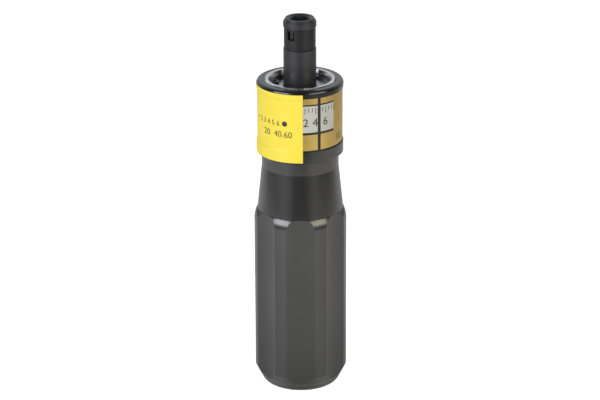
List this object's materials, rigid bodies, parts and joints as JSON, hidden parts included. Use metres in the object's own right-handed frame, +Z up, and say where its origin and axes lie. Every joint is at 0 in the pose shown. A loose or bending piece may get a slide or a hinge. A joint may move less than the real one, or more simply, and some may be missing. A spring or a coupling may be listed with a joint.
{
  "type": "torque screwdriver",
  "caption": "Preset torque screwdriver standing on its fluted handle, with a labelled head, a slipping clutch inside and a hex bit socket on top.",
  "frame": {"origin": "centre of the handle's flat foot, on the tool's axis", "axes": "+Z up the tool's axis from the foot to the bit socket, -Y towards the front, where the edge of the calibration sticker is"},
  "size_m": [0.034, 0.0334, 0.1421],
  "materials": {
    "black_anodised": "satin",
    "black_gloss": "gloss",
    "label_print": "satin",
    "yellow_vinyl": "satin",
    "turned_steel": "machined",
    "spring_steel_dark": "oiled",
    "washer_steel": "ground",
    "bearing_bronze": "machined",
    "hardened_steel": "ground",
    "ball_steel": "polished",
    "black_oxide_steel": "satin",
    "clip_steel": "satin",
    "spring_wire": "satin",
    "plug_plastic": "matt"
  },
  "bodies": {
    "handle_unit": {"handle": "black_anodised", "head_sleeve": "black_gloss", "label_band": "label_print", "calibration_sticker": "yellow_vinyl", "clutch_housing": "turned_steel", "circlip": "spring_steel_dark", "cover_washer": "washer_steel", "nose_bush": "bearing_bronze", "hard_washer": "hardened_steel", "bronze_washer": "bearing_bronze", "thrust_washer": "bearing_bronze", "end_plug": "plug_plastic"},
    "spindle_unit": {"spindle": "black_oxide_steel", "bit_clip": "clip_steel"},
    "clutch_plate_unit": {"pressure_plate": "hardened_steel", "clutch_balls": "ball_steel"},
    "adjusting_nut_unit": {"adjusting_nut": "turned_steel", "nut_keys": "hardened_steel", "main_spring": "spring_wire"},
    "adjusting_screw_unit": {"adjusting_screw": "black_oxide_steel"}
  },
  "joints": [
    {"name": "spindle_spin", "type": "hinge", "parent": "handle_unit", "child": "spindle_unit", "pos_m": [0, 0, 0.1035], "axis": [0, 0, 1], "continuous": true},
    {"name": "clutch_lift", "type": "slide", "parent": "handle_unit", "child": "clutch_plate_unit", "axis": [0, 0, 1], "range_m": [-0.0011, 0], "stiffness_N_per_m": 2000, "springref_m": 0.001, "deforming": ["main_spring"]},
    {"name": "adjuster_spin", "type": "hinge", "parent": "handle_unit", "child": "adjusting_screw_unit", "pos_m": [0, 0, 0.012], "axis": [0, 0, 1], "range_deg": [-1800, 1080]},
    {"name": "nut_travel", "type": "slide", "parent": "handle_unit", "child": "adjusting_nut_unit", "axis": [0, 0, 1], "range_m": [-0.00625, 0.00375], "deforming": ["main_spring"]}
  ],
  "couplings": [
    {"joint": "nut_travel", "follows": "adjuster_spin", "m_per_rad": 0.00019894}
  ]
}
